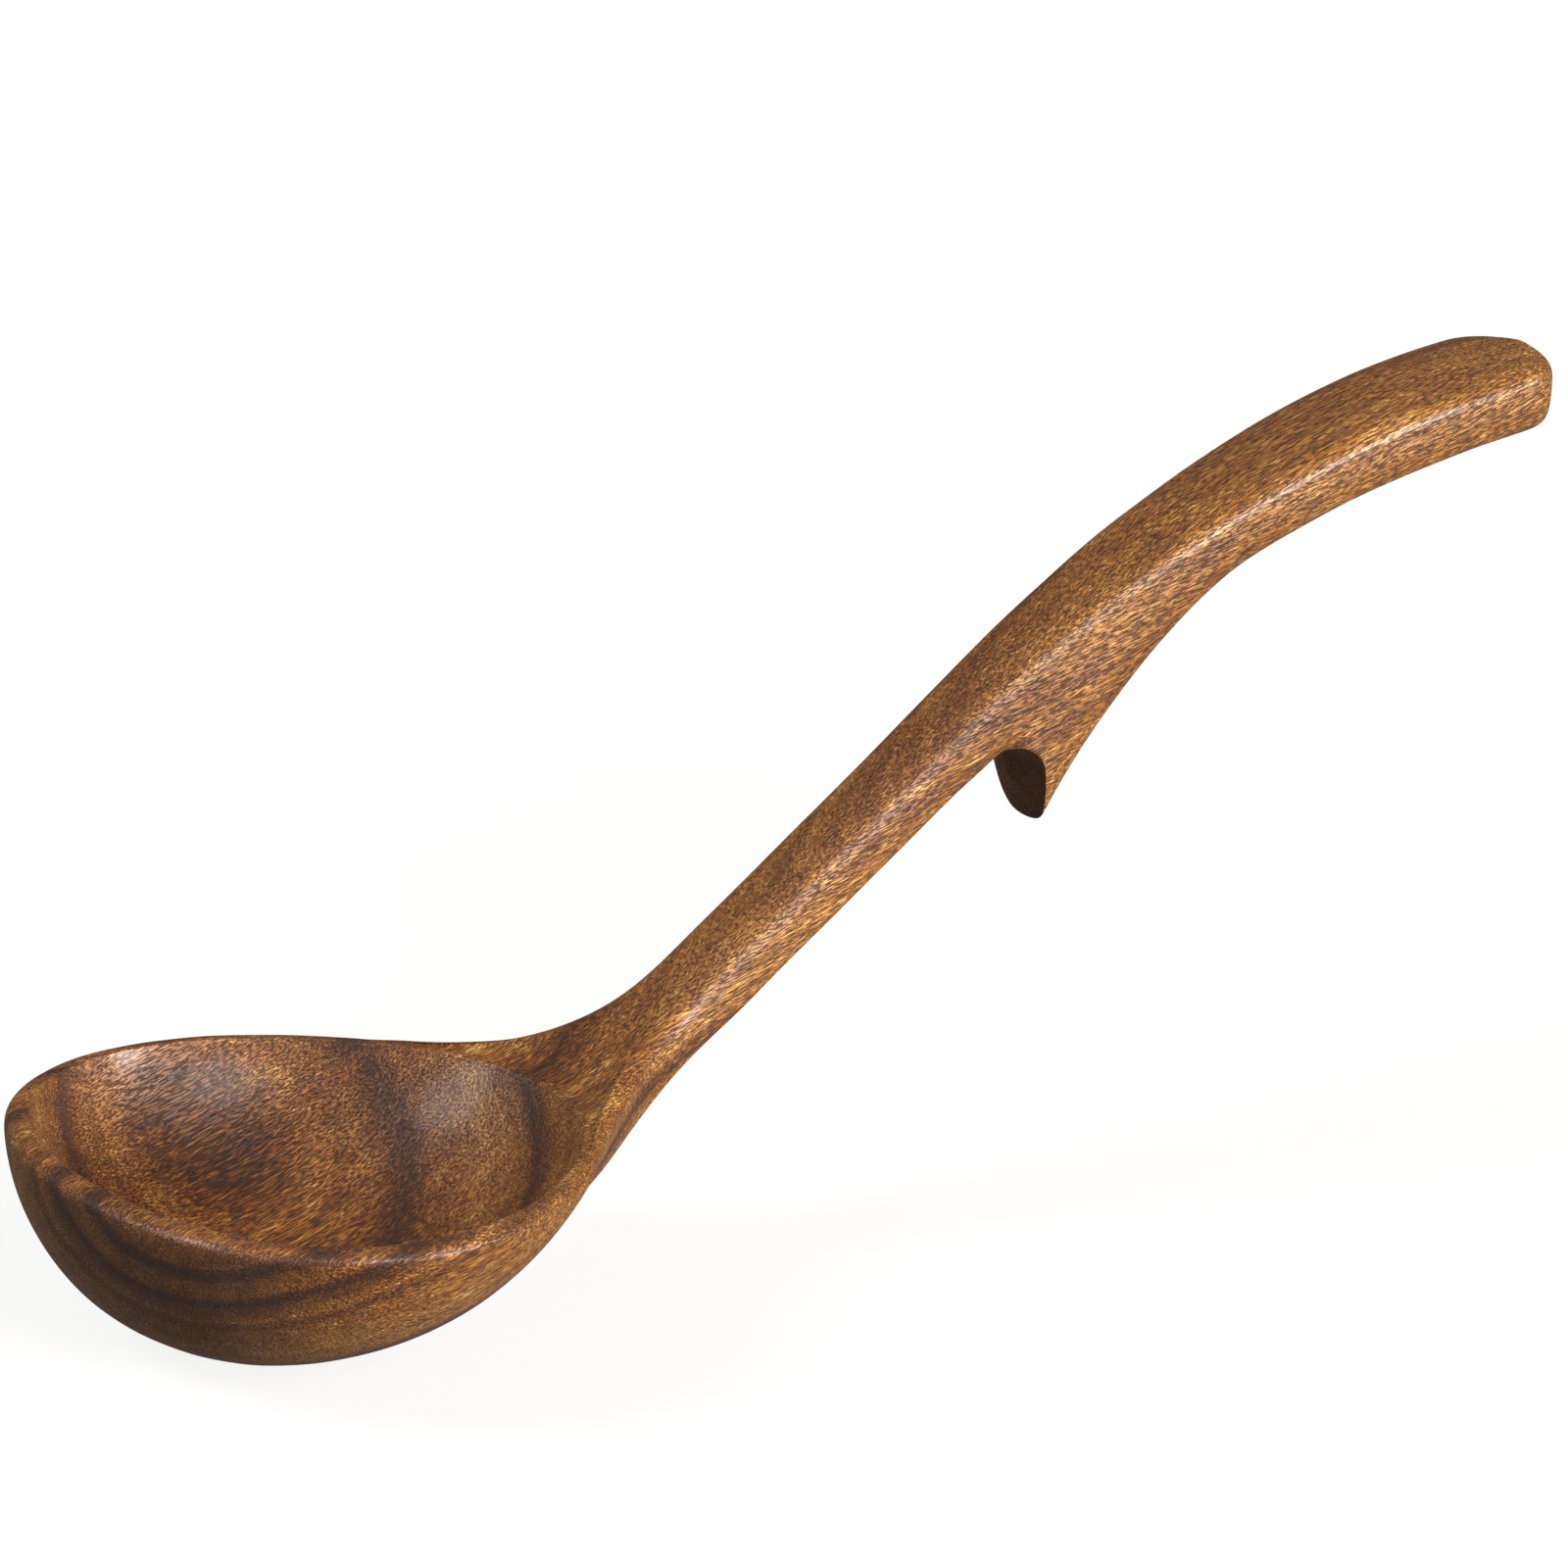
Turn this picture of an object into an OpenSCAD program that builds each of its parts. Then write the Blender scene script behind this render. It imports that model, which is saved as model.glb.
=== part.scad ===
// Wooden soup ladle carved from one piece: a round bowl, a rising handle that
// widens into the grip, and a hook spur under the handle that hangs on a pot rim.
// Sizes are in millimetres and angles in degrees.  The rim of the bowl is level,
// the bowl opens toward +Z, the handle runs toward +X, the ladle is symmetric
// about Y = 0 and the origin is the lowest point of the bowl.

/* [Bowl] */
// width of the bowl across its rim
bowl_width = 88; // [72:1:104]
// height of the rim above the lowest point of the bowl
bowl_depth = 31; // [26:0.5:40]
// wood between the outside and the inside of the bowl at its rim
rim_thickness = 3.4; // [2.8:0.1:5]
// wood under the lowest point of the inside
floor_thickness = 4; // [3:0.1:6]
// radius that rounds the outer edge of the rim
rim_round = 2; // [1:0.1:2.4]
// slope the wall of the bowl has reached at the rim, 90 is upright
rim_wall_angle = 77; // [66:1:86]
// share of its radius by which the bowl is drawn out toward the handle
bowl_point = 0.047; // [0:0.001:0.06]
// distance from the lowest point of the bowl back to the middle of the rim
bowl_setback = 7.7; // [0:0.1:10]

/* [Neck] */
// path from the inner rim edge to where the handle has its regular section
neck_length = 28.5; // [24:0.5:40]
// radius of the bend that turns the top of the neck upward
neck_bend = 20; // [16:1:40]
// angle of the handle above level between the neck and the grip
handle_rise = 35.5; // [28:0.5:42]
// how far the top and sides of the neck follow the bowl before they leave it
neck_side_flow = 0.32; // [0.2:0.02:0.6]
// how far the underside of the neck follows the bowl before it leaves it
neck_under_flow = 2; // [1:0.1:2.2]
// how far the neck reaches back along the line of the handle
neck_handle_flow = 1.5; // [1:0.1:1.6]

/* [Handle] */
// straight part of the handle between the neck bend and the grip bend
straight_length = 84; // [66:1:100]
// radius of the long bend of the grip
grip_bend = 234; // [190:2:320]
// angle of the grip above level at its end
end_angle = 4.5; // [0:0.5:15]
// width of the handle at its narrowest
shank_width = 13.5; // [10:0.1:18]
// width of the handle at the grip
grip_width = 24.3; // [20:0.1:32]
// thickness of the handle beside the neck
shank_depth = 11; // [9:0.1:15]
// thickness of the handle at the grip
grip_depth = 13.1; // [10:0.1:16]
// rise of the middle of the top face above its two edges
top_crown = 1.5; // [0.6:0.1:2.4]
// radius that softens the two top edges
edge_round = 2.4; // [1.2:0.1:3]
// path from the inner rim edge to where the handle begins to widen
widening_start = 74; // [45:1:80]
// length of the rounded end of the grip
end_length = 8; // [6:0.5:16]

/* [Hook] */
// path from the inner rim edge to the flat inner face of the hook
hook_position = 105; // [90:0.5:120]
// length of the hook below the underside of the handle
hook_drop = 18.4; // [12:0.2:24]
// angle by which the inner face leans from square to the handle toward upright
hook_lean = 18; // [10:1:26]
// path over which the back of the hook runs out into the grip
hook_length = 48; // [34:1:56]
// radius of the round top of the notch between the hook and the handle
notch_round = 6.4; // [1:0.1:7.5]

/* [Hidden] */
// columns round the bowl, and how many of them the neck takes on each side
columns = 64;
neck_columns = 8;
// rings up the outside wall, round its edge and down the inside
wall_rings = 14;
edge_rings = 3;
inside_rings = 14;
// first wall ring that reaches the neck
neck_ring = 7;
// sections along the neck, shank, hook, grip and rounded end
neck_sections = 7;
shank_sections = 8;
hook_sections = 8;
grip_sections = 7;
end_sections = 6;
// points on each soft top edge
edge_points = 3;
// exponents of the squared section of the handle and of the hook at its longest,
// and the angle where the underside of the section begins
squareness = 4.8;
hook_squareness = 3.2;
under_angle = 40;
// tilt of the first regular section back toward the bowl
neck_tilt = -18;
// path over which the sections turn from square to the lean of the hook
lean_length = 25;
// sections round the top of the notch
notch_sections = 5;
// power of the curve down the back of the hook, and how its sections bunch up
hook_curve = 1.7;
hook_bunching = 1.3;
// how blunt the end of the grip is in plan, and its least share of the width
end_bluntness = 0.5;
end_tip_share = 0.1;
// how far round the last end section reaches, and how deep it still is
end_reach = 87;
end_depth = 12.4;

rim_radius = bowl_width/2;
inner_radius = rim_radius - rim_thickness;
bend_length = neck_bend*handle_rise*PI/180;
top_length = bend_length + straight_length + grip_bend*(handle_rise - end_angle)*PI/180;
grip_end = top_length - end_length;
hook_end = hook_position + hook_length;
// how far the round top of the notch reaches along the handle and down the face,
// which always leaves some of the face flat
notch_reach = min(notch_round/tan((90 - hook_lean)/2), hook_drop*2/3);
notch_start = hook_position - notch_reach;
rim_edge_x = inner_radius*(1 + bowl_point) + bowl_setback;

// ---- the bowl as rings of [radius, height] --------------------------------

function wall_point(radius, height, share) =
    [radius*sin(rim_wall_angle*share)/sin(rim_wall_angle),
     height*(1 - cos(rim_wall_angle*share))/(1 - cos(rim_wall_angle))];

wall_part = [for (j = [1:wall_rings])
    wall_point(rim_radius, bowl_depth - rim_round, j/wall_rings)];
edge_part = [for (j = [1:edge_rings]) let (turn = 90*j/edge_rings)
    [rim_radius - rim_round*(1 - cos(turn)), bowl_depth - rim_round*(1 - sin(turn))]];
inside_part = [for (j = [0:inside_rings - 1])
    wall_point(inner_radius, bowl_depth - floor_thickness, 1 - j/inside_rings)
        + [0, floor_thickness]];
rings = concat(wall_part, edge_part, inside_part);
top_ring = wall_rings + edge_rings - 1;
last_ring = len(rings) - 1;

function ring_point(ring, column) =
    let (angle = 360*column/columns,
         share = rings[ring][1]/bowl_depth,
         radius = rings[ring][0]*(1 + bowl_point*cos(3*angle)*share))
    [radius*cos(angle) + bowl_setback*share, radius*sin(angle), rings[ring][1]];

function unit(v) = v/norm(v);

// direction square to the outside of the bowl, straight up on top of the rim
function wall_normal(ring, column) =
    ring == top_ring ? [0, 0, 1]
    : unit(cross(ring_point(ring, column + 1) - ring_point(ring, column - 1),
                 ring_point(ring + 1, column) - ring_point(ring - 1, column)));

// ---- the opening in the bowl's back that the neck grows from --------------

// [ring, column] round the opening: along the bottom, up, back along the top, down
opening = concat(
    [for (c = [-neck_columns:neck_columns]) [neck_ring - 1, c]],
    [for (r = [neck_ring:top_ring - 1]) [r, neck_columns]],
    [for (c = [neck_columns:-1:-neck_columns]) [top_ring, c]],
    [for (r = [top_ring - 1:-1:neck_ring]) [r, -neck_columns]]);
loop_size = len(opening);
across = 2*neck_columns;
up = top_ring - neck_ring + 1;

// ---- the line of the handle's top, by the path s from the inner rim edge ---

function turn_at(s) =
    s < bend_length ? s/neck_bend*180/PI
    : s < bend_length + straight_length ? handle_rise
    : handle_rise - (s - bend_length - straight_length)/grip_bend*180/PI;

bend_end = [rim_edge_x + neck_bend*sin(handle_rise),
            bowl_depth + neck_bend*(1 - cos(handle_rise))];
straight_end = bend_end + straight_length*[cos(handle_rise), sin(handle_rise)];

function top_at(s) =
    let (turn = turn_at(s))
    s < bend_length
        ? [rim_edge_x + neck_bend*sin(turn), bowl_depth + neck_bend*(1 - cos(turn))]
    : s < bend_length + straight_length
        ? bend_end + (s - bend_length)*[cos(turn), sin(turn)]
    : straight_end
        + grip_bend*[sin(handle_rise) - sin(turn), cos(turn) - cos(handle_rise)];

function smooth(t) =
    let (u = max(0, min(1, t)))
    u*u*(3 - 2*u);

function width_at(s) =
    shank_width + (grip_width - shank_width)*smooth((s - widening_start)/(top_length - widening_start));
function depth_at(s) =
    shank_depth + (grip_depth - shank_depth)*smooth((s - neck_length)/(grip_end - neck_length));

// ---- one section of the handle: [y, depth below the top line] --------------
// The hook adds its drop to the handle's own depth.  The sides keep the handle's
// points, and the points along the bottom reach round the whole hook.

// exponent of a section with a share of the hook's drop
function power_at(drop) =
    squareness + (hook_squareness - squareness)*min(1, drop/hook_drop);

// half the width left at a fall below the crown, of a section that falls by whole
function half_at(half, fall, whole, power) =
    half*pow(max(0, 1 - pow(fall/whole, power)), 1/power);

function fall_at(whole, angle) = whole*pow(sin(angle), 2/squareness);

function crown_at(half, y) = top_crown*pow(y/half, 2);

function mirrored(p) = [-p[0], p[1]];

// right half of a section from its lower corner up to the edge of the top face
function side_points(half, depth, drop) =
    let (soft = min(edge_round, 0.45*half),
         share = min(1, soft/(depth - top_crown)),
         side_angle = asin(pow(share, squareness/2)),
         plain = up - edge_points,
         whole = depth + drop - top_crown,
         sides = [for (i = [1:plain])
             let (fall = fall_at(depth - top_crown, under_angle + (side_angle - under_angle)*i/plain))
             [half_at(half, fall, whole, power_at(drop)), top_crown + fall]],
         low = sides[plain - 1],
         corner = [half, 0.95*top_crown],
         high = [half - soft, crown_at(half, half - soft)],
         bend = [for (i = [1:edge_points]) let (t = i/edge_points)
             pow(1 - t, 2)*low + 2*t*(1 - t)*corner + t*t*high])
    concat(sides, bend);

function section(half, depth, drop) =
    let (sides = side_points(half, depth, drop),
         high = sides[up - 1],
         whole = depth + drop - top_crown,
         corner = fall_at(depth - top_crown, under_angle),
         corner_angle = asin(pow(corner/whole, squareness/2)),
         under = [for (i = [0:neck_columns])
             let (fall = fall_at(whole, corner_angle + (90 - corner_angle)*i/neck_columns))
             [half_at(half, fall, whole, power_at(drop)), top_crown + fall]])
    concat(
        [for (i = [0:neck_columns]) mirrored(under[i])],
        [for (i = [neck_columns - 1:-1:0]) under[i]],
        [for (i = [0:up - 2]) sides[i]],
        [for (i = [0:across]) let (y = high[0]*(1 - 2*i/across)) [y, crown_at(half, y)]],
        [for (i = [up - 2:-1:0]) mirrored(sides[i])]);

// a section put in place: its plane leans from square to the top line
function placed(s, lean, half, depth, drop = 0) =
    let (start = top_at(s),
         slope = turn_at(s) - lean)
    [for (p = section(half, depth, drop))
        [start[0] + sin(slope)*p[1], p[0], start[1] - cos(slope)*p[1]]];

// the outline of the hook's flat face, in the plane of the last section of the notch
function hook_outline() =
    placed(hook_position, hook_lean, width_at(hook_position)/2,
           depth_at(hook_position)/cos(hook_lean), hook_drop);

// ---- the loops of the handle, from the bowl to the end of the grip ---------

opening_points = [for (q = opening) ring_point(q[0], q[1])];
first_section = placed(neck_length, neck_tilt, width_at(neck_length)/2, depth_at(neck_length));
first_direction = [cos(turn_at(neck_length)), 0, sin(turn_at(neck_length))];

// share of the underside in a point of the loop: 1 along the bottom, 0 along the top
function under_share(i) =
    i <= across ? 1
    : i <= across + up ? smooth(1 - (i - across)/up)
    : i >= loop_size - up ? smooth(1 - (loop_size - i)/up)
    : 0;

function neck_point(i, t) =
    let (start = opening_points[i],
         end = first_section[i],
         gap = end - start,
         normal = wall_normal(opening[i][0], opening[i][1]),
         flow = neck_side_flow + (neck_under_flow - neck_side_flow)*under_share(i),
         leave = unit(gap - normal*(gap*normal))*flow*norm(gap),
         arrive = first_direction*neck_handle_flow*norm(gap))
    (2*pow(t, 3) - 3*t*t + 1)*start + (pow(t, 3) - 2*t*t + t)*leave
        + (3*t*t - 2*pow(t, 3))*end + (pow(t, 3) - t*t)*arrive;

neck_loops = [for (k = [1:neck_sections])
    [for (i = [0:loop_size - 1]) neck_point(i, k/(neck_sections + 1))]];

shank_loops = [for (k = [0:shank_sections])
    let (s = neck_length + (notch_start - neck_length)*k/shank_sections,
         lean = hook_lean*smooth((s - notch_start + lean_length)/lean_length)
             + neck_tilt*(1 - smooth((s - neck_length)/lean_length)))
    placed(s, lean, width_at(s)/2, depth_at(s)/cos(lean))];

// the top of the notch is a round arc from the underside of the handle to the face:
// at a share t of the arc, how far it still is from the face or from the underside
notch_turn = 90 + hook_lean;
notch_middle = notch_reach*tan((90 - hook_lean)/2)/cos(hook_lean);
function notch_gap(t) =
    notch_middle + (sin(notch_turn*(1 - t))*(notch_reach - notch_middle)
        - sin(notch_turn*t)*notch_middle)/cos(hook_lean);

notch_loops = [for (k = [1:notch_sections])
    let (t = k/notch_sections,
         s = hook_position - notch_gap(t))
    placed(s, hook_lean, width_at(s)/2, depth_at(s)/cos(hook_lean), notch_gap(1 - t))];

hook_loops = [for (k = [1:hook_sections])
    let (share = pow(k/hook_sections, hook_bunching),
         s = hook_position + hook_length*share,
         lean = hook_lean*(1 - smooth(share)),
         drop = hook_drop*pow(1 - share, hook_curve))
    placed(s, lean, width_at(s)/2, depth_at(s)/cos(lean), drop/cos(lean))];

grip_loops = [for (k = [1:grip_sections])
    let (s = hook_end + (grip_end - hook_end)*k/grip_sections)
    placed(s, 0, width_at(s)/2, depth_at(s))];

end_loops = [for (k = [1:end_sections])
    let (angle = end_reach*k/end_sections,
         s = grip_end + end_length*sin(angle),
         half = grip_width/2*max(end_tip_share, pow(cos(angle), end_bluntness)),
         depth = grip_depth + (end_depth - grip_depth)*(1 - cos(angle)))
    placed(s, 0, half, depth)];

loops = concat(neck_loops, shank_loops, notch_loops, [hook_outline()],
    hook_loops, grip_loops, end_loops);

// ---- points and faces of the whole ladle -----------------------------------

bowl_points = [for (r = [0:last_ring]) for (c = [0:columns - 1]) ring_point(r, c)];
outer_pole = len(bowl_points);
inner_pole = outer_pole + 1;
first_loop = outer_pole + 2;
ladle_points = concat(
    bowl_points,
    [[0, 0, 0], [bowl_setback*floor_thickness/bowl_depth, 0, floor_thickness]],
    [for (loop = loops) each loop]);

// the face lies between the last loop of the notch and its own outline, which has
// points of its own only along the bottom
notch_loop = neck_sections + shank_sections + notch_sections;
outline_loop = notch_loop + 1;
function shared(loop, i) = loop == outline_loop && i > across;

function ring_index(ring, column) = ring*columns + (column + columns)%columns;
function loop_index(loop, i) =
    let (j = i%loop_size)
    loop < 0 ? ring_index(opening[j][0], opening[j][1])
    : first_loop + (shared(loop, j) ? notch_loop : loop)*loop_size + j;

// two triangles across the corners a, b, c, d, which run clockwise seen from outside;
// where two corners are one point, only the triangle that is left
function patch(a, b, c, d) = [
    if (a != b) [a, b, c],
    if (c != d) [a, c, d]];

function in_opening(ring, column) =
    ring >= neck_ring - 1 && ring < top_ring && column >= -neck_columns && column < neck_columns;

bowl_faces = [for (r = [0:last_ring - 1]) for (c = [-columns/2:columns/2 - 1])
    if (!in_opening(r, c))
        each patch(ring_index(r, c), ring_index(r + 1, c),
                   ring_index(r + 1, c + 1), ring_index(r, c + 1))];
pole_faces = [for (c = [0:columns - 1]) each [
    [outer_pole, ring_index(0, c), ring_index(0, c + 1)],
    [inner_pole, ring_index(last_ring, c + 1), ring_index(last_ring, c)]]];
loop_faces = [for (k = [-1:len(loops) - 2]) for (i = [0:loop_size - 1])
    each patch(loop_index(k, i), loop_index(k + 1, i),
               loop_index(k + 1, i + 1), loop_index(k, i + 1))];
// the end of the grip, closed by strips from the right side to the left
tip = len(loops) - 1;
tip_faces = [for (i = [1:loop_size - 2])
    [loop_index(tip, 0), loop_index(tip, i + 1), loop_index(tip, i)]];

module ladle() {
    color("sienna")
        polyhedron(ladle_points, concat(bowl_faces, pole_faces, loop_faces, tip_faces));
}

ladle();
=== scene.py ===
import math

import bmesh
import bpy
from mathutils import Matrix, Vector, noise


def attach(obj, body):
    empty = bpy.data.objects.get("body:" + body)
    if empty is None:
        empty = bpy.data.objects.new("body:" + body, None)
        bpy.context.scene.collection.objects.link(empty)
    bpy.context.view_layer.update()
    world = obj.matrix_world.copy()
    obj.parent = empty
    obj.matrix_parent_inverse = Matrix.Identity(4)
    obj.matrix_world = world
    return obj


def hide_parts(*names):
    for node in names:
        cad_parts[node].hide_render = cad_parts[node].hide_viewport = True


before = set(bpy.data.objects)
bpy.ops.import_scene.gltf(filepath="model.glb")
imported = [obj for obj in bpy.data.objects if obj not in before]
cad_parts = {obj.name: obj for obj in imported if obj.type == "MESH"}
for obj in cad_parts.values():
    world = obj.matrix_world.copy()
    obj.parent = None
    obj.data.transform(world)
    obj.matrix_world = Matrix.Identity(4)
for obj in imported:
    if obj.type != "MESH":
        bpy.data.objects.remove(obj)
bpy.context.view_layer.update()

mm = 0.001


def linearColour(hexText):
    # sRGB hex to the linear values that shaders and lights take
    channels = [int(hexText[i:i + 2], 16)/255 for i in (1, 3, 5)]
    linear = [c/12.92 if c <= 0.04045 else ((c + 0.055)/1.055)**2.4 for c in channels]
    return (*linear, 1.0)


def addNode(tree, kind, values=None, links=None, stops=None, **settings):
    node = tree.nodes.new(kind)
    for name, value in settings.items():
        setattr(node, name, value)
    for key, value in (values or {}).items():
        node.inputs[key].default_value = value
    for key, source in (links or {}).items():
        tree.links.new(source, node.inputs[key])
    for i, (place, shade) in enumerate(stops or []):
        ramp = node.color_ramp.elements
        element = ramp[i] if i < 2 else ramp.new(place)
        element.position = place
        element.color = shade
    return node


# ladle: the shape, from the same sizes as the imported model
ladle = {
    # bowl, in mm and degrees
    "bowlWidth": 88,
    "bowlDepth": 31,
    "rimThickness": 3.4,
    "floorThickness": 4,
    "rimRound": 2,
    "rimWallAngle": 77,     # slope of the wall at the rim, 90 is upright
    "bowlPoint": 0.047,     # share of its radius by which the bowl is drawn toward the handle
    "bowlSetback": 7.7,     # from the lowest point back to the middle of the rim
    # neck
    "neckLength": 28.5,
    "neckBend": 20,
    "handleRise": 35.5,
    "neckSideFlow": 0.32,   # how far its sides follow the bowl before they leave it
    "neckUnderFlow": 2,
    "neckHandleFlow": 1.5,
    "neckTilt": -18,
    # handle
    "straightLength": 84,
    "gripBend": 234,
    "endAngle": 4.5,
    "shankWidth": 13.5,
    "gripWidth": 24.3,
    "shankDepth": 11,
    "gripDepth": 13.1,
    "topCrown": 1.5,
    "edgeRound": 2.4,
    "edgeLimit": 0.45,      # most of half the width that a soft edge may take
    "edgePull": 0.95,       # share of the crown where the soft edge would meet in a corner
    "wideningStart": 74,
    "squareness": 4.8,      # exponent of the section: 2 is an ellipse
    "underAngle": 40,       # where the underside of the section begins
    "endLength": 8,
    "endDepth": 12.4,
    "endReach": 87,         # how far round the last loop of the end lies
    "endBluntness": 0.5,
    "endTipShare": 0.1,     # least share of the width
    # hook
    "hookPosition": 105,
    "hookDrop": 18.4,
    "hookLean": 18,
    "hookLength": 48,
    "hookSquareness": 3.2,  # rounder than the handle
    "hookCurve": 1.7,       # power of the curve down its back
    "hookBunching": 1.3,    # how its loops crowd toward the face
    "notchRound": 6.4,
    "leanLength": 25,       # over which the sections turn to the lean of the hook
    # hand finish: how far sanding left the surface uneven, and over what distance
    "unevenness": 0.16,
    "unevenSpan": 16,
    "smallerFlats": (0.4, 0.5),  # share of that span and of that height
    # loops this far from a sawn or scraped edge keep it crisp
    "crispEdge": 0.28,
    "crispFace": 0.42,
}

# loops and rings of each part before it is smoothed
mesh = {
    "columns": 96,
    "neckColumns": 12,
    "wallRings": 21,
    "edgeRings": 4,
    "insideRings": 21,
    "neckRing": 10,
    "neckLoops": 10,
    "shankLoops": 16,
    "notchLoops": 8,
    "faceLoops": 4,
    "hookLoops": 14,
    "gripLoops": 12,
    "endLoops": 9,
    "edgePoints": 5,
    "joinWithin": 0.02,     # mm, points closer than this are one
    "smoothing": 2,
}

rimRadius = ladle["bowlWidth"]/2
innerRadius = rimRadius - ladle["rimThickness"]
bendLength = math.radians(ladle["handleRise"])*ladle["neckBend"]
topLength = (bendLength + ladle["straightLength"]
             + math.radians(ladle["handleRise"] - ladle["endAngle"])*ladle["gripBend"])
gripEnd = topLength - ladle["endLength"]
hookEnd = ladle["hookPosition"] + ladle["hookLength"]
notchReach = ladle["notchRound"]/math.tan(math.radians((90 - ladle["hookLean"])/2))
notchStart = ladle["hookPosition"] - notchReach
rimEdgeX = innerRadius*(1 + ladle["bowlPoint"]) + ladle["bowlSetback"]


def sinDeg(angle):
    return math.sin(math.radians(angle))


def cosDeg(angle):
    return math.cos(math.radians(angle))


def smoothStep(t):
    t = max(0.0, min(1.0, t))
    return t*t*(3 - 2*t)


def wallPoint(radius, height, share):
    slope = ladle["rimWallAngle"]
    return (radius*sinDeg(slope*share)/sinDeg(slope),
            height*(1 - cosDeg(slope*share))/(1 - cosDeg(slope)))


def bowlRings():
    # (radius, height) from the bottom up the outside, over the rim and down inside
    depth, soft, crisp = ladle["bowlDepth"], ladle["rimRound"], ladle["crispEdge"]
    rings = [wallPoint(rimRadius, depth - soft, j/mesh["wallRings"])
             for j in range(1, mesh["wallRings"] + 1)]
    for j in range(1, mesh["edgeRings"] + 1):
        turn = 90*j/mesh["edgeRings"]
        rings.append((rimRadius - soft*(1 - cosDeg(turn)), depth - soft*(1 - sinDeg(turn))))
    rings.append((innerRadius + crisp, depth))
    shares = [1 - j/mesh["insideRings"] for j in range(mesh["insideRings"])]
    shares.insert(1, 1 - crisp/depth)
    for share in shares:
        radius, height = wallPoint(innerRadius, depth - ladle["floorThickness"], share)
        rings.append((radius, height + ladle["floorThickness"]))
    return rings


rings = bowlRings()
topRing = mesh["wallRings"] + mesh["edgeRings"] - 1
across = 2*mesh["neckColumns"]
rise = topRing - mesh["neckRing"] + 1


def ringPoint(ring, column):
    radius, height = rings[ring]
    angle = 2*math.pi*column/mesh["columns"]
    share = height/ladle["bowlDepth"]
    radius *= 1 + ladle["bowlPoint"]*math.cos(3*angle)*share
    return Vector((radius*math.cos(angle) + ladle["bowlSetback"]*share,
                   radius*math.sin(angle), height))


def wallNormal(ring, column):
    if ring == topRing:
        return Vector((0, 0, 1))
    around = ringPoint(ring, column + 1) - ringPoint(ring, column - 1)
    upward = ringPoint(ring + 1, column) - ringPoint(ring - 1, column)
    return around.cross(upward).normalized()


def openingLoop():
    # (ring, column) round the opening that the neck grows from
    side, low = mesh["neckColumns"], mesh["neckRing"]
    bottom = [(low - 1, c) for c in range(-side, side + 1)]
    right = [(r, side) for r in range(low, topRing)]
    top = [(topRing, c) for c in range(side, -side - 1, -1)]
    left = [(r, -side) for r in range(topRing - 1, low - 1, -1)]
    return bottom + right + top + left


opening = openingLoop()
loopSize = len(opening)


def turnAt(s):
    # slope of the top of the handle, by the path s from the inner rim edge
    if s < bendLength:
        return math.degrees(s/ladle["neckBend"])
    if s < bendLength + ladle["straightLength"]:
        return ladle["handleRise"]
    past = s - bendLength - ladle["straightLength"]
    return ladle["handleRise"] - math.degrees(past/ladle["gripBend"])


def topAt(s):
    turn, bend, whole = turnAt(s), ladle["neckBend"], ladle["handleRise"]
    if s < bendLength:
        return Vector((rimEdgeX + bend*sinDeg(turn), 0,
                       ladle["bowlDepth"] + bend*(1 - cosDeg(turn))))
    straight = min(s - bendLength, ladle["straightLength"])
    x = rimEdgeX + bend*sinDeg(whole) + straight*cosDeg(whole)
    z = ladle["bowlDepth"] + bend*(1 - cosDeg(whole)) + straight*sinDeg(whole)
    if s > bendLength + ladle["straightLength"]:
        x += ladle["gripBend"]*(sinDeg(whole) - sinDeg(turn))
        z += ladle["gripBend"]*(cosDeg(turn) - cosDeg(whole))
    return Vector((x, 0, z))


def widthAt(s):
    share = smoothStep((s - ladle["wideningStart"])/(topLength - ladle["wideningStart"]))
    return ladle["shankWidth"] + (ladle["gripWidth"] - ladle["shankWidth"])*share


def depthAt(s):
    share = smoothStep((s - ladle["neckLength"])/(gripEnd - ladle["neckLength"]))
    return ladle["shankDepth"] + (ladle["gripDepth"] - ladle["shankDepth"])*share


def powerAt(drop):
    share = min(1, drop/ladle["hookDrop"])
    return ladle["squareness"] + (ladle["hookSquareness"] - ladle["squareness"])*share


def halfAt(half, fall, whole, power):
    # half the width left at a fall below the crown
    return half*max(0.0, 1 - (fall/whole)**power)**(1/power)


def fallAt(whole, angle):
    return whole*sinDeg(angle)**(2/ladle["squareness"])


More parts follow.
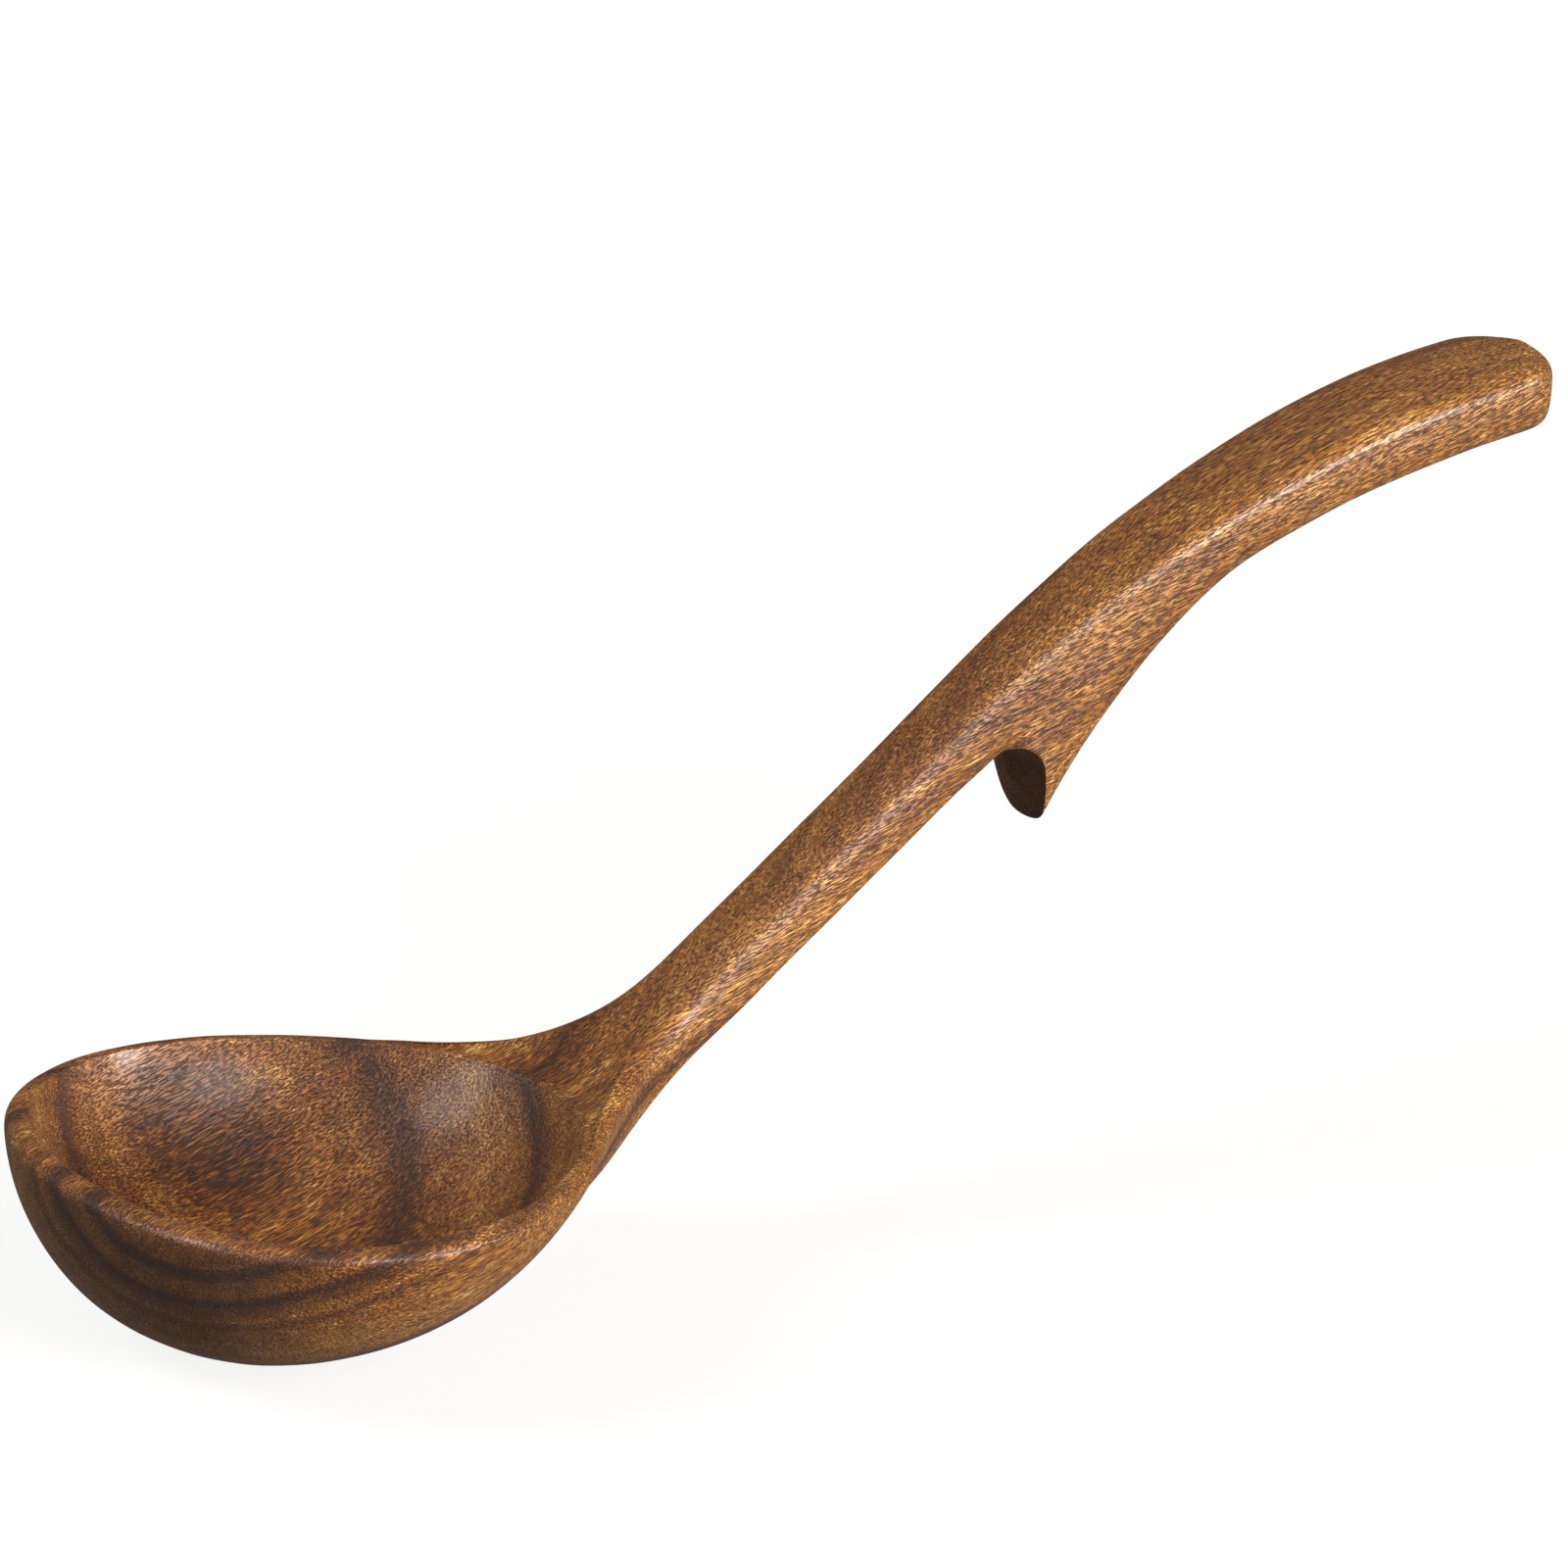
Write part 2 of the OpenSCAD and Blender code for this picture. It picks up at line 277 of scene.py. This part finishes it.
def section(half, depth, drop, spread=0, cut=None):
    # (y, depth below the top line) round one section; the hook adds its drop, which
    # only the points along the bottom follow. spread, from 0 to 1, shares those points
    # evenly between what lies above the notch and below it, and cut is the drop at which
    # a flat bottom ends the section
    crown, whole = ladle["topCrown"], depth + drop - ladle["topCrown"]

    def crownAt(y):
        return crown*(y/half)**2

    def angleAt(share):
        return math.degrees(math.asin(min(1, share)**(ladle["squareness"]/2)))

    soft = min(ladle["edgeRound"], ladle["edgeLimit"]*half)
    low, plain = ladle["underAngle"], rise - mesh["edgePoints"]
    sideAngle = angleAt(soft/(depth - crown))
    sides = []
    for i in range(1, plain + 1):
        fall = fallAt(depth - crown, low + (sideAngle - low)*i/plain)
        sides.append((halfAt(half, fall, whole, powerAt(drop)), crown + fall))
    edge, corner = sides[-1], (half, ladle["edgePull"]*crown)
    high = (half - soft, crownAt(half - soft))
    for i in range(1, mesh["edgePoints"] + 1):
        t = i/mesh["edgePoints"]
        sides.append(tuple((1 - t)**2*a + 2*t*(1 - t)*b + t*t*c
                           for a, b, c in zip(edge, corner, high)))
    side, start = mesh["neckColumns"], fallAt(depth - crown, low)
    startAngle = angleAt(start/whole)
    handleFall = depth - crown - start
    if cut is None:
        notchShare = (notchReach + handleFall)/(ladle["hookDrop"] + handleFall)
    else:
        notchShare = (cut + handleFall)/(whole - start)
    level = start + (whole - start)*notchShare
    under = []
    for i in range(side + 1):
        share = i/side
        fall = fallAt(whole, startAngle + (90 - startAngle)*share)
        even = (start + (level - start)*2*share if share < 0.5
                else level + (whole - level)*sinDeg(180*share - 90))
        fall += (even - fall)*spread
        if cut is not None and share >= 0.5:
            width = halfAt(half, level, whole, powerAt(drop))
            under.append((width*(2 - 2*share), crown + level))
        else:
            under.append((halfAt(half, fall, whole, powerAt(drop)), crown + fall))
    top = [high[0]*(1 - 2*i/across) for i in range(across + 1)]
    return ([(-y, d) for y, d in under] + under[side - 1::-1]
            + sides[:-1] + [(y, crownAt(y)) for y in top]
            + [(-y, d) for y, d in sides[-2::-1]])


def placed(s, lean, half, depth, drop=0, spread=0, cut=None):
    start, slope = topAt(s), turnAt(s) - lean
    return [start + Vector((sinDeg(slope)*d, y, -cosDeg(slope)*d))
            for y, d in section(half, depth, drop, spread, cut)]


def underShare(i):
    # 1 along the bottom of a loop, 0 along its top
    if i <= across:
        return 1.0
    if i <= across + rise:
        return smoothStep(1 - (i - across)/rise)
    if i >= loopSize - rise:
        return smoothStep(1 - (loopSize - i)/rise)
    return 0.0


def neckLoopPoints():
    # each point of the opening flows along the bowl, then along the handle
    start = ladle["neckLength"]
    first = placed(start, ladle["neckTilt"], widthAt(start)/2, depthAt(start))
    direction = Vector((cosDeg(turnAt(start)), 0, sinDeg(turnAt(start))))
    loops = [[] for _ in range(mesh["neckLoops"])]
    for i, (ring, column) in enumerate(opening):
        a, b, normal = ringPoint(ring, column), first[i], wallNormal(ring, column)
        gap = b - a
        flow = (ladle["neckSideFlow"]
                + (ladle["neckUnderFlow"] - ladle["neckSideFlow"])*underShare(i))
        leave = (gap - normal*gap.dot(normal)).normalized()*flow*gap.length
        arrive = direction*ladle["neckHandleFlow"]*gap.length
        for k, loop in enumerate(loops, 1):
            t = k/(mesh["neckLoops"] + 1)
            loop.append((2*t**3 - 3*t*t + 1)*a + (t**3 - 2*t*t + t)*leave
                        + (3*t*t - 2*t**3)*b + (t**3 - t*t)*arrive)
    return loops


def shankLoopPoints():
    start = ladle["neckLength"]
    loops = []
    for k in range(mesh["shankLoops"] + 1):
        s = start + (notchStart - start)*k/mesh["shankLoops"]
        forward = smoothStep((s - notchStart + ladle["leanLength"])/ladle["leanLength"])
        back = 1 - smoothStep((s - start)/ladle["leanLength"])
        lean = ladle["hookLean"]*forward + ladle["neckTilt"]*back
        loops.append(placed(s, lean, widthAt(s)/2, depthAt(s)/cosDeg(lean)))
    return loops


def notchLoopPoints():
    # a round arc from the underside of the handle to the face of the hook
    lean = ladle["hookLean"]
    turn = 90 + lean
    middle = notchReach*math.tan(math.radians((90 - lean)/2))/cosDeg(lean)

    def gapAt(t):
        return middle + (sinDeg(turn*(1 - t))*(notchReach - middle)
                         - sinDeg(turn*t)*middle)/cosDeg(lean)

    loops = []
    for k in range(1, mesh["notchLoops"] + 1):
        t = k/mesh["notchLoops"]
        s = ladle["hookPosition"] - gapAt(t)
        size = (s, lean, widthAt(s)/2, depthAt(s)/cosDeg(lean))
        # soft lower corners at first, then crisp ones where the notch was sawn
        soft = placed(*size, gapAt(1 - t))
        crisp = placed(*size, ladle["hookDrop"], 1, gapAt(1 - t))
        loops.append([a.lerp(b, smoothStep(2*t)) for a, b in zip(soft, crisp)])
    return loops


def hookFacePoints(root):
    # the flat face of the hook, in the plane of the last section of the notch
    s, lean = ladle["hookPosition"], ladle["hookLean"]
    outline = placed(s, lean, widthAt(s)/2, depthAt(s)/cosDeg(lean), ladle["hookDrop"], 1)
    shares = [k/mesh["faceLoops"] for k in range(1, mesh["faceLoops"])]
    shares += [1 - ladle["crispFace"]/ladle["hookDrop"], 1]
    return [[a.lerp(b, share) for a, b in zip(root, outline)] for share in shares]


def hookLoopPoints():
    loops = []
    shares = [ladle["crispEdge"]/ladle["hookLength"]]
    shares += [(k/mesh["hookLoops"])**ladle["hookBunching"]
               for k in range(1, mesh["hookLoops"] + 1)]
    for share in shares:
        s = ladle["hookPosition"] + ladle["hookLength"]*share
        lean = ladle["hookLean"]*(1 - smoothStep(share))
        drop = ladle["hookDrop"]*(1 - share)**ladle["hookCurve"]
        loops.append(placed(s, lean, widthAt(s)/2, depthAt(s)/cosDeg(lean),
                            drop/cosDeg(lean), 1 - smoothStep(2*share)))
    return loops


def gripLoopPoints():
    loops = []
    for k in range(1, mesh["gripLoops"] + 1):
        s = hookEnd + (gripEnd - hookEnd)*k/mesh["gripLoops"]
        loops.append(placed(s, 0, widthAt(s)/2, depthAt(s)))
    for k in range(1, mesh["endLoops"] + 1):
        angle = ladle["endReach"]*k/mesh["endLoops"]
        s = gripEnd + ladle["endLength"]*sinDeg(angle)
        share = max(ladle["endTipShare"], cosDeg(angle)**ladle["endBluntness"])
        thinner = (ladle["endDepth"] - ladle["gripDepth"])*(1 - cosDeg(angle))
        loops.append(placed(s, 0, ladle["gripWidth"]/2*share, ladle["gripDepth"] + thinner))
    return loops


def unevenSkin(point):
    # low broad flats that carving and hand sanding leave
    span, (spanShare, heightShare) = ladle["unevenSpan"], ladle["smallerFlats"]
    wave = noise.noise(point/span) + heightShare*noise.noise(point/(spanShare*span))
    return ladle["unevenness"]*wave


def wrap(column):
    return column % mesh["columns"]


def inOpening(ring, column):
    return (mesh["neckRing"] - 1 <= ring < topRing
            and -mesh["neckColumns"] <= column < mesh["neckColumns"])


def turnBowl(body):
    bowl = [[body.verts.new(ringPoint(r, c)) for c in range(mesh["columns"])]
            for r in range(len(rings))]
    for r in range(len(rings) - 1):
        for c in range(-mesh["columns"]//2, mesh["columns"]//2):
            if inOpening(r, c):
                continue
            body.faces.new((bowl[r][wrap(c)], bowl[r][wrap(c + 1)],
                            bowl[r + 1][wrap(c + 1)], bowl[r + 1][wrap(c)]))
    setback = ladle["bowlSetback"]*ladle["floorThickness"]/ladle["bowlDepth"]
    outerPole = body.verts.new((0, 0, 0))
    innerPole = body.verts.new((setback, 0, ladle["floorThickness"]))
    for c in range(mesh["columns"]):
        body.faces.new((outerPole, bowl[0][wrap(c + 1)], bowl[0][c]))
        body.faces.new((innerPole, bowl[-1][c], bowl[-1][wrap(c + 1)]))
    return [bowl[r][wrap(c)] for r, c in opening]


def drawHandle(body, firstLoop):
    handle = neckLoopPoints() + shankLoopPoints() + notchLoopPoints()
    hookFace = hookFacePoints(handle[-1])
    points = handle + hookFace + hookLoopPoints() + gripLoopPoints()
    loops = [firstLoop] + [[body.verts.new(p) for p in loop] for loop in points]
    # except along the bottom, the hook's face has the points of the notch's last loop
    for row in range(len(handle) + 1, len(handle) + len(hookFace) + 1):
        for i in range(across + 1, loopSize):
            body.verts.remove(loops[row][i])
            loops[row][i] = loops[len(handle)][i]
    for a, b in zip(loops, loops[1:]):
        for i in range(loopSize):
            j = (i + 1) % loopSize
            corners = list(dict.fromkeys((a[i], a[j], b[j], b[i])))
            if len(corners) > 2:
                body.faces.new(corners)
    return loops[-1]


def closeGrip(body, last):
    # a grid between the four sides of the last loop
    bottom = last[:across + 1]
    right = last[across:across + rise + 1]
    top = last[across + rise:2*across + rise + 1][::-1]
    left = [last[0]] + last[:2*across + rise - 1:-1]
    grid = [[None]*(across + 1) for _ in range(rise + 1)]
    for v in range(rise + 1):
        for u in range(across + 1):
            if v in (0, rise):
                grid[v][u] = (bottom if v == 0 else top)[u]
            elif u in (0, across):
                grid[v][u] = (left if u == 0 else right)[v]
            else:
                p, q = u/across, v/rise
                place = (bottom[u].co*(1 - q) + top[u].co*q
                         + left[v].co*(1 - p) + right[v].co*p
                         - bottom[0].co*(1 - p)*(1 - q) - bottom[-1].co*p*(1 - q)
                         - top[0].co*(1 - p)*q - top[-1].co*p*q)
                grid[v][u] = body.verts.new(place)
    for v in range(rise):
        for u in range(across):
            body.faces.new((grid[v][u], grid[v][u + 1], grid[v + 1][u + 1], grid[v + 1][u]))


def carveLadle():
    body = bmesh.new()
    closeGrip(body, drawHandle(body, turnBowl(body)))
    # the loops of the hook's face meet along its sides
    bmesh.ops.remove_doubles(body, verts=body.verts, dist=mesh["joinWithin"])
    bmesh.ops.recalc_face_normals(body, faces=body.faces)
    body.normal_update()
    shifts = [vert.normal*(unevenSkin(vert.co) - ladle["unevenness"]) for vert in body.verts]
    for vert, shift in zip(body.verts, shifts):
        vert.co = (vert.co + shift)*mm
    shape = bpy.data.meshes.new("carved_ladle")
    body.to_mesh(shape)
    body.free()
    for polygon in shape.polygons:
        polygon.use_smooth = True
    piece = bpy.data.objects.new("carved_ladle", shape)
    bpy.context.scene.collection.objects.link(piece)
    sanded = piece.modifiers.new("sanded", "SUBSURF")
    sanded.levels = mesh["smoothing"]
    sanded.render_levels = mesh["smoothing"]
    return piece


carvedLadle = carveLadle()
print("ladle carved:", len(carvedLadle.data.polygons), "faces before smoothing")


# acacia, carved, sanded and oiled: golden to dark brown growth bands, short open pores
# along the fibres that break up the shine, darker end grain, and a satin skin
acacia = {
    "grainTilt": 17,        # degrees by which the fibres rise toward the grip
    "pith": (-25, 70),      # mm, middle of the tree: beside the ladle, across the fibres
    # growth bands: (mm from the pith, tone from 0 for the darkest wood to 1 for the palest)
    "bands": [(20, 0.6), (24, 0.66), (27, 0.48), (30, 0.62), (34, 0.44), (36, 0.36),
              (37.5, 0.04), (39.3, 0.38), (41, 0.44), (43, 0.08), (45, 0.42), (46.5, 0.5),
              (48, 0.36), (50, 0.52), (56, 0.62), (60, 0.48), (62, 0.1), (64, 0.44),
              (68, 0.6), (71, 0.44), (73.5, 0.16), (76, 0.42), (78, 0.52), (79.5, 0.2),
              (82, 0.4), (86, 0.55), (92, 0.35)],
    "bandReach": 95,        # mm, a little past the last band
    "bandFade": (55, 110, 0.3),   # mm along the fibres over which the bands fade, share left
    "plainTone": 0.56,      # what they fade to
    "ringWidth": 1.7,       # mm between fine growth lines
    # patterns drawn out along the fibres: mm along, mm across, detail, roughness
    "wander": (125, 16.67, 3, 0.5),
    "streaks": (50, 1.43, 3, 0.55),
    "fibres": (5, 0.14, 2, 0.6),  # real ones are finer, but would not show
    "pores": (1.7, 0.1, 1, 0.4),
    "strayBy": 4,           # mm by which the bands wander
    # what the patterns add to the tone
    "ringWeight": 0.35,
    "streakWeight": 0.5,
    "fibreWeight": 1.6,
    "tones": [(0.0, "#33190A"), (0.25, "#59300F"), (0.5, "#86501B"), (0.75, "#AE7832"),
              (1.0, "#DDB878")],
    "pore": "#1C0D06",
    "poreOpens": (0.5, 0.57),     # level of the pattern where a pore starts, and is open
    "poreDark": 0.8,
    "poreRougher": 0.3,
    "fibreRidge": 1.1,      # height of a fibre, next to the depth of a pore
    "relief": 0.11,         # mm
    "endGrain": 0.55,       # how much darker the wood is where the cut crosses the fibres
    "roughness": 0.46,
    "ior": 1.5,
    "oil": (0.1, 0.2),      # thin coat: weight and roughness
}


def makeAcacia():
    material = bpy.data.materials.new("acacia_carved_and_oiled")
    material.use_nodes = True
    tree = material.node_tree
    tree.nodes.clear()
    tilt = math.radians(acacia["grainTilt"])

    def grain(pattern, source):
        # noise drawn out along the fibres; it has a light and a dark in each unit across
        length, width, detail, roughness = acacia[pattern]
        stretched = addNode(tree, "ShaderNodeMapping",
                            {"Scale": (1/length, 1/width/2, 1/width/2)},
                            {"Vector": source}).outputs[0]
        return addNode(tree, "ShaderNodeTexNoise",
                       {"Scale": 1, "Detail": detail, "Roughness": roughness},
                       {"Vector": stretched})

    # place in the wood in mm: X along the fibres, Y and Z across them from the pith
    place = addNode(tree, "ShaderNodeTexCoord").outputs["Object"]
    wood = addNode(tree, "ShaderNodeMapping",
                   {"Rotation": (0, tilt, 0), "Scale": (1/mm, 1/mm, 1/mm),
                    "Location": (0, -acacia["pith"][0], -acacia["pith"][1])},
                   {"Vector": place}).outputs[0]

    # the layers wander slowly, more slowly along the fibres
    shift = addNode(tree, "ShaderNodeVectorMath", {1: (0.5, 0.5, 0.5)},
                    {0: grain("wander", wood).outputs["Color"]},
                    operation="SUBTRACT").outputs[0]
    shift = addNode(tree, "ShaderNodeVectorMath", {"Scale": acacia["strayBy"]}, {0: shift},
                    operation="SCALE").outputs[0]
    bent = addNode(tree, "ShaderNodeVectorMath", None, {0: wood, 1: shift},
                   operation="ADD").outputs[0]
    flat = addNode(tree, "ShaderNodeVectorMath", {1: (0, 1, 1)}, {0: bent},
                   operation="MULTIPLY").outputs[0]
    radius = addNode(tree, "ShaderNodeVectorMath", None, {0: flat},
                     operation="LENGTH").outputs["Value"]

    # growth bands as grey tones by the distance from the pith
    reach = addNode(tree, "ShaderNodeMath", {1: 1/acacia["bandReach"]}, {0: radius},
                    operation="MULTIPLY").outputs[0]
    bands = addNode(tree, "ShaderNodeValToRGB", None, {"Fac": reach},
                    stops=[(r/acacia["bandReach"], (t, t, t, 1)) for r, t in acacia["bands"]])
    bands.color_ramp.interpolation = "EASE"
    ringPlace = addNode(tree, "ShaderNodeMath", {1: 1/acacia["ringWidth"]}, {0: radius},
                        operation="MULTIPLY").outputs[0]
    fineRings = addNode(tree, "ShaderNodeTexNoise",
                        {"Scale": 1, "Detail": 3, "Roughness": 0.6},
                        {"W": ringPlace}, noise_dimensions="1D").outputs["Fac"]

    streaks = grain("streaks", bent).outputs["Fac"]
    fibres = grain("fibres", bent).outputs["Fac"]

    # the bands are strong in the bowl and fade along the handle
    start, end, left = acacia["bandFade"]
    along = addNode(tree, "ShaderNodeSeparateXYZ", None, {"Vector": wood}).outputs["X"]
    strength = addNode(tree, "ShaderNodeMapRange",
                       {"From Min": start, "From Max": end, "To Min": 1.0, "To Max": left},
                       {"Value": along}).outputs[0]
    plain = acacia["plainTone"]
    above = addNode(tree, "ShaderNodeMath", {1: plain}, {0: bands.outputs["Color"]},
                    operation="SUBTRACT").outputs[0]

    # tone = band + what rings, streaks and fibres add to it
    tone = addNode(tree, "ShaderNodeMath", {2: plain}, {0: above, 1: strength},
                   operation="MULTIPLY_ADD").outputs[0]
    added = [(fineRings, "ringWeight"), (streaks, "streakWeight"), (fibres, "fibreWeight")]
    for part, weight in added:
        centred = addNode(tree, "ShaderNodeMath", {1: 0.5}, {0: part},
                          operation="SUBTRACT").outputs[0]
        tone = addNode(tree, "ShaderNodeMath", {1: acacia[weight]}, {0: centred, 2: tone},
                       operation="MULTIPLY_ADD").outputs[0]
    stops = [(t, linearColour(c)) for t, c in acacia["tones"]]
    shade = addNode(tree, "ShaderNodeValToRGB", None, {"Fac": tone}, stops=stops).outputs[0]

    # end grain: where the surface is cut square to the fibres it drinks more oil
    facing = addNode(tree, "ShaderNodeNewGeometry").outputs["Normal"]
    cut = addNode(tree, "ShaderNodeVectorMath", {1: (math.cos(tilt), 0, math.sin(tilt))},
                  {0: facing}, operation="DOT_PRODUCT").outputs["Value"]
    square = addNode(tree, "ShaderNodeMath", None, {0: cut, 1: cut},
                     operation="MULTIPLY").outputs[0]
    dim = addNode(tree, "ShaderNodeMath", {1: -acacia["endGrain"], 2: 1.0}, {0: square},
                  operation="MULTIPLY_ADD").outputs[0]
    shade = addNode(tree, "ShaderNodeVectorMath", None, {0: shade, "Scale": dim},
                    operation="SCALE").outputs[0]

    # open pores: short dark dashes along the fibres, dots where the cut crosses them
    start, end = acacia["poreOpens"]
    pores = addNode(tree, "ShaderNodeMapRange",
                    {"From Min": start, "From Max": end, "To Min": 0, "To Max": 1},
                    {"Value": grain("pores", wood).outputs["Fac"]}).outputs[0]
    poreShade = addNode(tree, "ShaderNodeMath", {1: acacia["poreDark"]}, {0: pores},
                        operation="MULTIPLY").outputs[0]
    colour = addNode(tree, "ShaderNodeMix", {7: linearColour(acacia["pore"])},
                     {"Factor": poreShade, 6: shade}, data_type="RGBA").outputs[2]

    # the pores are open grooves and the fibres fine ridges, so a highlight breaks up
    height = addNode(tree, "ShaderNodeMath", {1: -1.0}, {0: pores},
                     operation="MULTIPLY").outputs[0]
    height = addNode(tree, "ShaderNodeMath", {1: acacia["fibreRidge"]},
                     {0: fibres, 2: height}, operation="MULTIPLY_ADD").outputs[0]
    bump = addNode(tree, "ShaderNodeBump",
                   {"Strength": 1.0, "Distance": acacia["relief"]*mm},
                   {"Height": height}).outputs[0]

    rough = addNode(tree, "ShaderNodeMath",
                    {1: acacia["poreRougher"], 2: acacia["roughness"]}, {0: pores},
                    operation="MULTIPLY_ADD").outputs[0]
    oilWeight, oilRoughness = acacia["oil"]
    skin = addNode(tree, "ShaderNodeBsdfPrincipled",
                   {"IOR": acacia["ior"], "Coat Weight": oilWeight,
                    "Coat Roughness": oilRoughness},
                   {"Base Color": colour, "Roughness": rough, "Normal": bump})
    addNode(tree, "ShaderNodeOutputMaterial", None, {"Surface": skin.outputs[0]})
    return material


carvedLadle.data.materials.append(makeAcacia())
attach(carvedLadle, "root")
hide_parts("ladle")
print("wood made")


# studio: a light table of opal acrylic, so bright itself that only a faint shadow shows,
# and three wide lamps far away
studio = {
    "acrylic": "#606060",   # what it reflects; most light passes through it
    "acrylicGlow": 0.87,
    "acrylicRoughness": 0.9,
    "tableSize": 8.0,       # m
    "fill": 0.24,           # dim room around the lamps
    "fillTint": "#FFEBD6",
    # camera, in mm and degrees; what it sees lies between near and far, in m
    "view": {"target": (97.7, 0, 60), "heading": 41.231, "elevation": 18.405, "roll": 4.73,
             "distance": 1000, "slide": (1.745, -10.762), "lens": 148.75, "sensor": 36,
             "near": 0.01, "far": 20},
    # lamps: degrees round from +X and up, how wide they look in degrees, strength in W/m2
    "lamps": {
        "front": {"round": -93, "up": 33, "wide": 22, "strength": 2.5, "tint": "#FFF6EA"},
        "left": {"round": 165, "up": 42, "wide": 24, "strength": 2.2, "tint": "#FFFFFF"},
        "low_right": {"round": -60, "up": 8, "wide": 14, "strength": 4.9, "tint": "#FFFCF6"},
    },
}


def makeTable():
    half = studio["tableSize"]/2
    sheet = bpy.data.meshes.new("light_table")
    corners = [(-half, -half, 0), (half, -half, 0), (half, half, 0), (-half, half, 0)]
    sheet.from_pydata(corners, [], [(0, 1, 2, 3)])
    table = bpy.data.objects.new("light_table", sheet)
    bpy.context.scene.collection.objects.link(table)
    table.visible_diffuse = False   # its glow doesn't wash out the wood
    table.visible_glossy = False
    acrylic = bpy.data.materials.new("opal_acrylic_matt")
    acrylic.use_nodes = True
    skin = acrylic.node_tree.nodes["Principled BSDF"]
    skin.inputs["Base Color"].default_value = linearColour(studio["acrylic"])
    skin.inputs["Roughness"].default_value = studio["acrylicRoughness"]
    skin.inputs["Specular IOR Level"].default_value = 0
    skin.inputs["Emission Color"].default_value = linearColour("#FFFFFF")
    skin.inputs["Emission Strength"].default_value = studio["acrylicGlow"]
    sheet.materials.append(acrylic)


def makeLights():
    world = bpy.data.worlds.new("studio_room")
    world.use_nodes = True
    tree = world.node_tree
    tree.nodes.clear()
    # the eye sees a white backdrop, the wood only a dim room
    seen = addNode(tree, "ShaderNodeLightPath").outputs["Is Camera Ray"]
    strength = addNode(tree, "ShaderNodeMapRange", {"To Min": studio["fill"], "To Max": 1.0},
                       {"Value": seen}).outputs[0]
    tint = addNode(tree, "ShaderNodeMix", {6: linearColour(studio["fillTint"]),
                                           7: linearColour("#FFFFFF")},
                   {"Factor": seen}, data_type="RGBA").outputs[2]
    room = addNode(tree, "ShaderNodeBackground", None,
                   {"Color": tint, "Strength": strength}).outputs[0]
    addNode(tree, "ShaderNodeOutputWorld", None, {"Surface": room})
    bpy.context.scene.world = world
    for name, lamp in studio["lamps"].items():
        data = bpy.data.lights.new(name, "SUN")
        data.angle = math.radians(lamp["wide"])
        data.energy = lamp["strength"]
        data.color = linearColour(lamp["tint"])[:3]
        light = bpy.data.objects.new(name, data)
        toward = Vector((cosDeg(lamp["round"])*cosDeg(lamp["up"]),
                         sinDeg(lamp["round"])*cosDeg(lamp["up"]), sinDeg(lamp["up"])))
        light.rotation_euler = toward.to_track_quat("Z", "Y").to_euler()
        bpy.context.scene.collection.objects.link(light)


def makeCamera():
    view = studio["view"]
    heading, elevation = view["heading"], view["elevation"]
    right = Vector((cosDeg(heading), -sinDeg(heading), 0))
    ahead = Vector((sinDeg(heading)*cosDeg(elevation), cosDeg(heading)*cosDeg(elevation),
                    -sinDeg(elevation)))
    upward = right.cross(ahead)
    turnedRight = right*cosDeg(view["roll"]) + upward*sinDeg(view["roll"])
    turnedUp = upward*cosDeg(view["roll"]) - right*sinDeg(view["roll"])
    place = (Vector(view["target"]) - turnedRight*view["slide"][0] - turnedUp*view["slide"][1]
             - ahead*view["distance"])*mm
    data = bpy.data.cameras.new("camera")
    data.lens = view["lens"]
    data.sensor_width = view["sensor"]
    data.clip_start = view["near"]
    data.clip_end = view["far"]
    camera = bpy.data.objects.new("camera", data)
    camera.matrix_world = Matrix((
        (turnedRight.x, turnedUp.x, -ahead.x, place.x),
        (turnedRight.y, turnedUp.y, -ahead.y, place.y),
        (turnedRight.z, turnedUp.z, -ahead.z, place.z),
        (0, 0, 0, 1)))
    bpy.context.scene.collection.objects.link(camera)
    bpy.context.scene.camera = camera


makeTable()
makeLights()
makeCamera()
bpy.context.scene.view_settings.view_transform = "Standard"
print("floor, lights and camera set")

bpy.context.view_layer.update()
